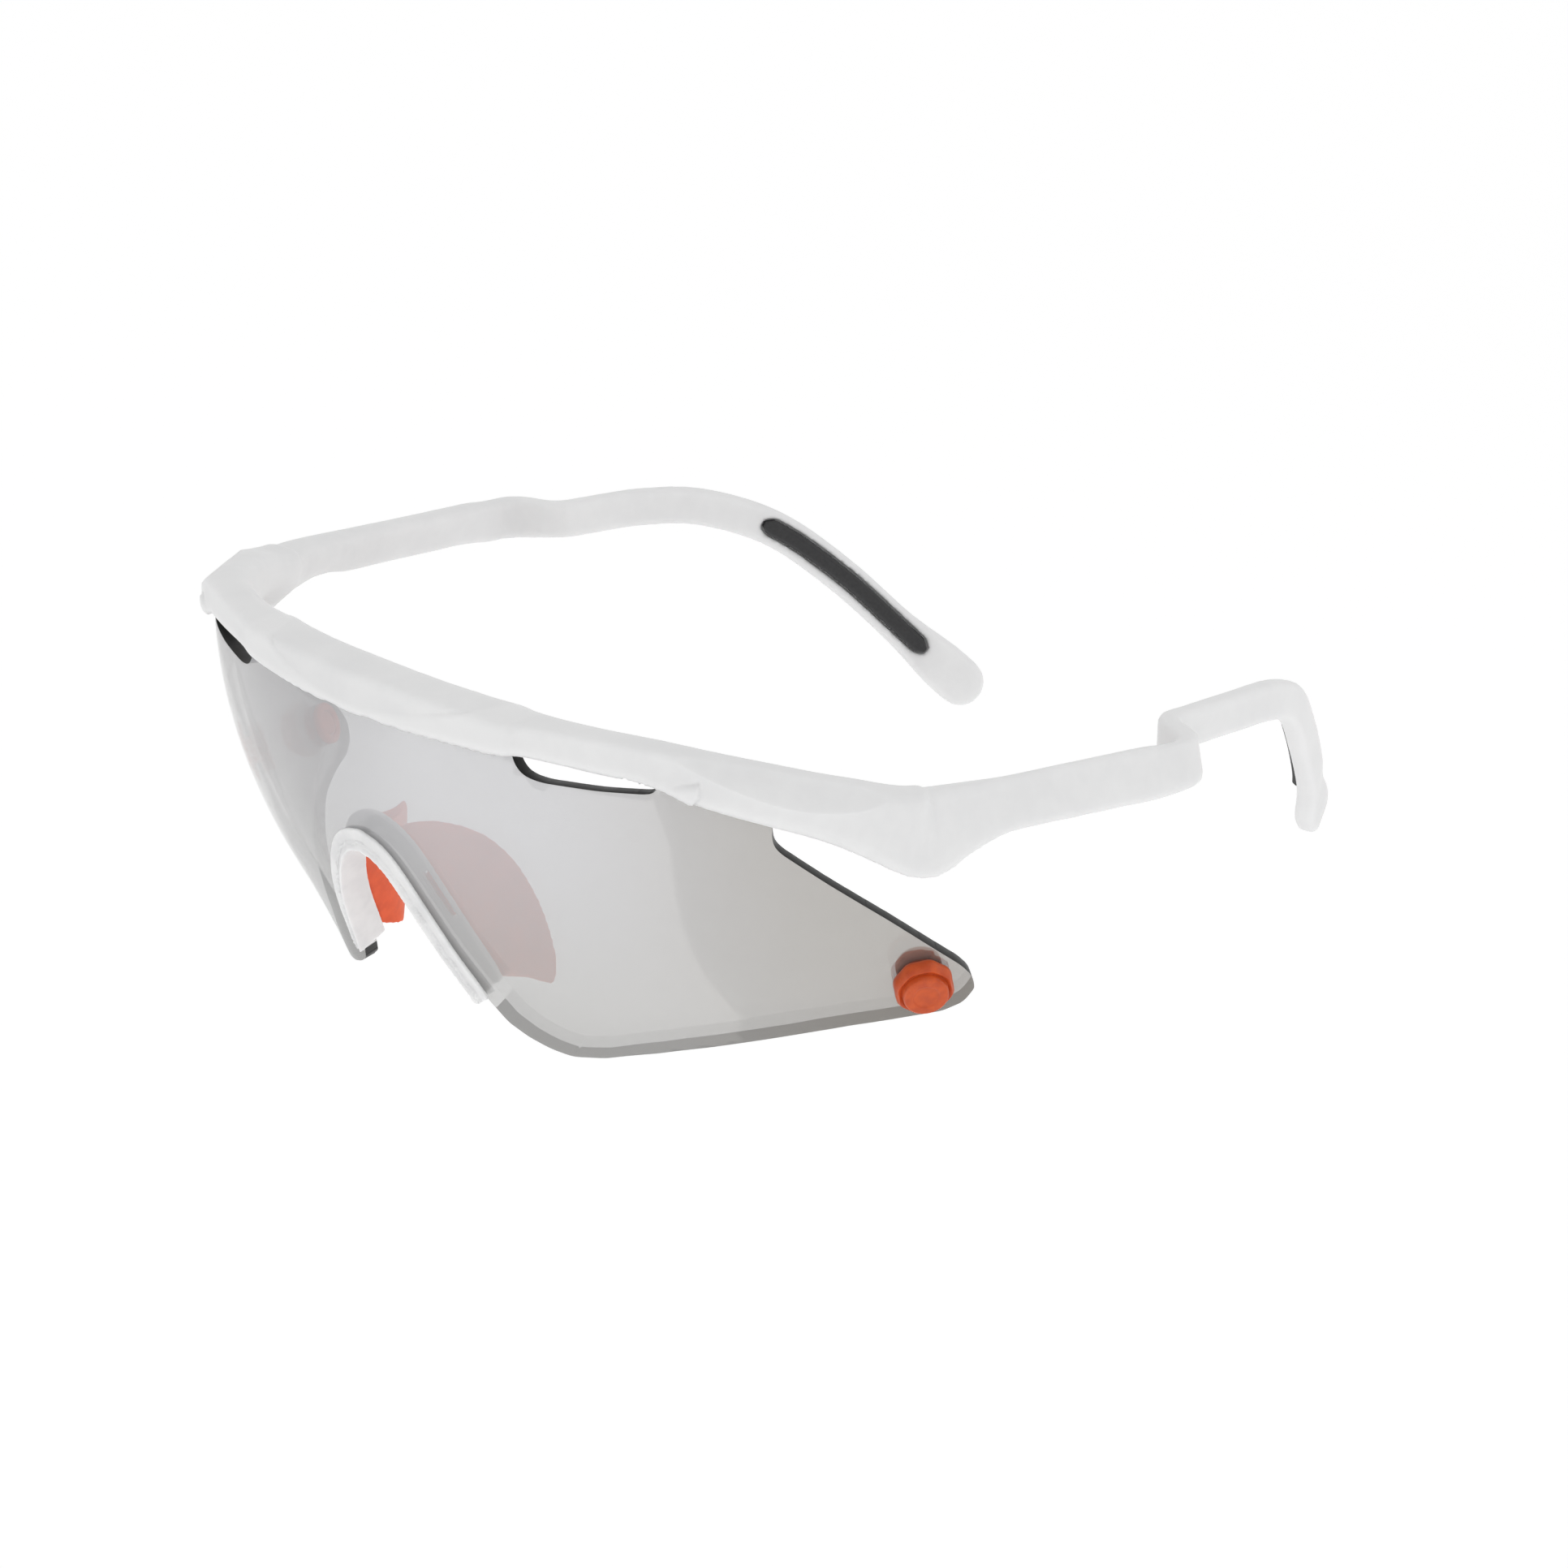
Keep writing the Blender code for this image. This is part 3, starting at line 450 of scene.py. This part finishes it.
bpy.ops.object.modifier_apply(modifier="sheet")
for face in mesh.polygons:
    covered = abs(face.center.x) < NOSE_RUN and NOSE_LOW < face.center.z < NOSE_HIGH
    if face.material_index == 1 and covered:
        face.material_index = 2
broken = shield.modifiers.new("broken_edge", "BEVEL")
broken.width, broken.segments, broken.angle_limit = 0.16 * MM, 2, math.radians(50)
bpy.ops.object.modifier_apply(modifier="broken_edge")
bpy.ops.object.shade_smooth_by_angle(angle=math.radians(35))
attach(shield, "lens")
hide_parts("lens")


# ---------------------------------------------------------------- studs and inner caps
# Orange thermoplastic buttons that close the screw holes near the lens tips: a rounded
# eight-sided disc with a raised round button in front, a flat ring on the inner face.

STUD_ACROSS, STUD_UP = 85.8 * MM, -27.2 * MM
STUD_GAP = 0.3 * MM
STUD_RADIUS, STUD_HEIGHT = 4.0 * MM, 2.2 * MM
BUTTON_RADIUS, BUTTON_HEIGHT = 3.0 * MM, 0.9 * MM
SHANK_RADIUS, SHANK_LENGTH = 1.7 * MM, 3.1 * MM
CAP_RADIUS, CAP_THICKNESS = 3.0 * MM, 1.1 * MM
RING_RADIUS, RING_EASE = 2.25 * MM, 0.1 * MM
ROUND_SIDES = 96
STUD_LIGHT, STUD_DEEP = (0.58, 0.088, 0.014), (0.47, 0.060, 0.009)


def stud_place(side):
    """The stud's own axes on the lens: across, up and outwards."""
    middle = formed(STUD_ACROSS, STUD_UP)
    across = (formed(STUD_ACROSS + MM, STUD_UP) - middle).normalized()
    out = across.cross(formed(STUD_ACROSS, STUD_UP + MM) - middle).normalized()
    place = Matrix((across, out.cross(across), out)).transposed().to_4x4()
    place.translation = middle
    return Matrix.Scale(side, 4, (1, 0, 0)) @ place


def turned(name, steps):
    """A round piece turned from its bottom face by extruding and scaling up its steps."""
    radius, height = steps[0]
    bpy.ops.object.select_all(action="DESELECT")
    bpy.ops.mesh.primitive_circle_add(vertices=ROUND_SIDES, radius=radius, fill_type="NGON",
                                      location=(0, 0, height))
    made = bpy.context.object
    made.name = name
    bpy.ops.object.transform_apply(location=True)
    bpy.ops.object.mode_set(mode="EDIT")
    bpy.ops.mesh.select_all(action="SELECT")
    for wider, higher in steps[1:]:
        bpy.ops.mesh.extrude_region_move(
            TRANSFORM_OT_translate={"value": (0, 0, higher - height)})
        share = wider / radius
        bpy.ops.transform.resize(value=(share, share, 1), center_override=(0, 0, higher))
        radius, height = wider, higher
    bpy.ops.mesh.select_all(action="SELECT")
    bpy.ops.mesh.normals_make_consistent(inside=False)
    bpy.ops.object.mode_set(mode="OBJECT")
    return made


def seat(thing, place, side):
    """Puts a finished shape on the lens, with its place in its mesh."""
    thing.data.transform(place)
    if side < 0:
        thing.data.flip_normals()
    only(thing)
    bpy.ops.object.shade_smooth_by_angle(angle=math.radians(40))


def soften_rims(thing, width):
    rims = thing.modifiers.new("rims", "BEVEL")
    rims.width, rims.segments, rims.angle_limit = width, 3, math.radians(35)
    only(thing)
    bpy.ops.object.modifier_apply(modifier="rims")


stud_finish, shader, wire = new_finish("orange_stud_finish", {
    "Subsurface Weight": 0.15, "Subsurface Radius": (1.0, 0.35, 0.12),
    "Subsurface Scale": 0.8 * MM, "Specular IOR Level": 0.4})
mottle = wire.ease(wire.noise(700.0, 4.0), 0.3, 0.7)
feed(shader, Base_Color=wire.blend(mottle, STUD_DEEP, STUD_LIGHT),
     Roughness=0.36 + 0.16 * mottle,
     Normal=wire.bump(wire.noise(3200.0, 3.0), 0.16, 0.1 * MM))

base, shoulder = STUD_GAP, STUD_GAP + STUD_HEIGHT
crown = shoulder + BUTTON_HEIGHT
for side, word in ((1, "left"), (-1, "right")):
    place = stud_place(side)
    stud = turned("lens_stud_" + word, [
        (SHANK_RADIUS, -SHANK_LENGTH), (SHANK_RADIUS, base), (STUD_RADIUS * 0.96, base),
        (STUD_RADIUS, base + 0.5 * MM), (STUD_RADIUS * 0.985, shoulder - 0.65 * MM),
        (STUD_RADIUS * 0.90, shoulder), (BUTTON_RADIUS + 0.28 * MM, shoulder - 0.12 * MM),
        (BUTTON_RADIUS, shoulder - 0.32 * MM), (BUTTON_RADIUS * 0.985, crown - 0.22 * MM),
        (BUTTON_RADIUS * 0.92, crown), (BUTTON_RADIUS * 0.60, crown),
        (BUTTON_RADIUS * 0.55, crown - 0.14 * MM), (BUTTON_RADIUS * 0.30, crown - 0.14 * MM)])
    for vertex in stud.data.vertices:
        flat = Vector((vertex.co.x, vertex.co.y))
        if flat.length > BUTTON_RADIUS * 1.12:
            vertex.co.xy = flat * (0.975 + 0.025 * math.cos(8 * math.atan2(flat.y, flat.x) + 0.6))
    soften_rims(stud, 0.16 * MM)
    seat(stud, place, side)
    inner = -LENS_THICKNESS - STUD_GAP
    rear, bore = inner - CAP_THICKNESS, SHANK_RADIUS + RING_EASE
    cap = turned("inner_cap_" + word, [
        (bore, inner), (CAP_RADIUS, inner), (CAP_RADIUS, rear + 0.3 * MM),
        (CAP_RADIUS - 0.35 * MM, rear), (RING_RADIUS, rear),
        (RING_RADIUS - 0.15 * MM, rear + 0.2 * MM), (bore, rear + 0.2 * MM),
        (bore, inner - 0.02 * MM)])
    soften_rims(cap, 0.1 * MM)
    seat(cap, place, side)
    for piece, node in ((stud, "stud_"), (cap, "stud_cap_")):
        piece.data.materials.append(stud_finish)
        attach(piece, "lens")
        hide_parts(node + word)


# ---------------------------------------------------------------- nose clip
# A frosted arch with a channel that slips over the lens's nose edge. Its front flange is
# narrow, its rear one wide, and a square window in each leg takes the peg of a pad.

FLANGE_CLOSE = 0.35             # share of its distance by which the front flange hugs the lens
FLANGE_EDGE = 0.6 * MM          # beyond the lens edge by this much, nothing moves
# The clip's emission strength is a painted glow, not a lamp
CLIP_MESH, CLIP_SOFTEN, CLIP_PAINTED_GLOW = 0.20 * MM, 4, 0.14
CLIP_SHADE, CLIP_LIGHT = (0.54, 0.54, 0.545), (0.63, 0.63, 0.63)

clip = even_copy("nose_clip", "nose_arch", CLIP_MESH, CLIP_SOFTEN)
sheet = shield.data
skin = BVHTree.FromPolygons([v.co for v in sheet.vertices],
                            [list(p.vertices) for p in sheet.polygons if p.material_index == 0])
for vertex in clip.data.vertices:
    spot, normal, _, _ = skin.find_nearest(vertex.co)
    ahead = (vertex.co - spot).dot(normal)
    beside = (vertex.co - spot - normal * ahead).length
    if normal.y < -0.3 and ahead > 0:
        vertex.co -= normal * ahead * FLANGE_CLOSE * max(0.0, 1 - beside / FLANGE_EDGE)
# A faint white emission on the clip is a painted glow: it stands for light passing through the
# frosted plastic
clip_finish, shader, wire = new_finish("frosted_clip_finish", {
    "Subsurface Weight": 0.6, "Subsurface Radius": (1.0, 1.0, 1.0),
    "Subsurface Scale": 1.2 * MM, "Specular IOR Level": 0.4, "Emission Color": (1, 1, 1, 1),
    "Emission Strength": CLIP_PAINTED_GLOW})
clouds = wire.ease(wire.noise(240.0, 4.0), 0.3, 0.7)
feed(shader, Base_Color=wire.blend(clouds, CLIP_SHADE, CLIP_LIGHT),
     Roughness=0.34 + 0.12 * clouds, Normal=wire.bump(wire.noise(2800.0, 2.0), 0.07, 0.1 * MM))
clip.data.materials.append(clip_finish)
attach(clip, "nose_clip")
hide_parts("nose_clip")


# ---------------------------------------------------------------- nose pads
# Two soft orange silicone leaves behind the clip. Each is a thin blade that sweeps back
# along the side of the nose, thicker at its root, with a fine matt skin.

PAD_MESH, PAD_SOFTEN = 0.24 * MM, 6
PAD_DEEP, PAD_LIGHT = (0.70, 0.100, 0.032), (0.82, 0.135, 0.050)

pad_finish, shader, wire = new_finish("orange_pad_finish", {
    "Subsurface Weight": 0.25, "Subsurface Radius": (1.0, 0.3, 0.15),
    "Subsurface Scale": 1.0 * MM, "Specular IOR Level": 0.3})
mottle = wire.ease(wire.noise(420.0, 4.0), 0.3, 0.7)
feed(shader, Base_Color=wire.blend(mottle, PAD_DEEP, PAD_LIGHT),
     Roughness=0.50 + 0.15 * mottle, Normal=wire.bump(wire.noise(2400.0, 3.0), 0.14, 0.12 * MM))
for word in ("left", "right"):
    pad = even_copy("nose_pad_" + word, "nose_leaf_" + word, PAD_MESH, PAD_SOFTEN)
    pad.data.materials.append(pad_finish)
    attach(pad, "nose_clip")
    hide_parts("nose_pad_" + word)


# ---------------------------------------------------------------- stem grips
# Black rubber strips let into the inner side of the ear stems, round at both ends, with a
# crowned face that stands a little proud and a fine non-slip grain.

GRIP_MESH, GRIP_SOFTEN = 0.16 * MM, 4
GRIP_DEEP, GRIP_LIGHT = (0.022, 0.022, 0.023), (0.046, 0.046, 0.047)

grip_finish, shader, wire = new_finish("black_grip_finish", {"Specular IOR Level": 0.3})
grain = wire.noise(1900.0, 3.0)
feed(shader, Base_Color=wire.blend(grain, GRIP_DEEP, GRIP_LIGHT),
     Roughness=0.55 + 0.2 * grain, Normal=wire.bump(grain, 0.25, 0.12 * MM))
for word in ("left", "right"):
    grip = even_copy("grip_" + word, "stem_grip_" + word, GRIP_MESH, GRIP_SOFTEN)
    grip.data.materials.append(grip_finish)
    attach(grip, "frame")
    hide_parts("grip_" + word)
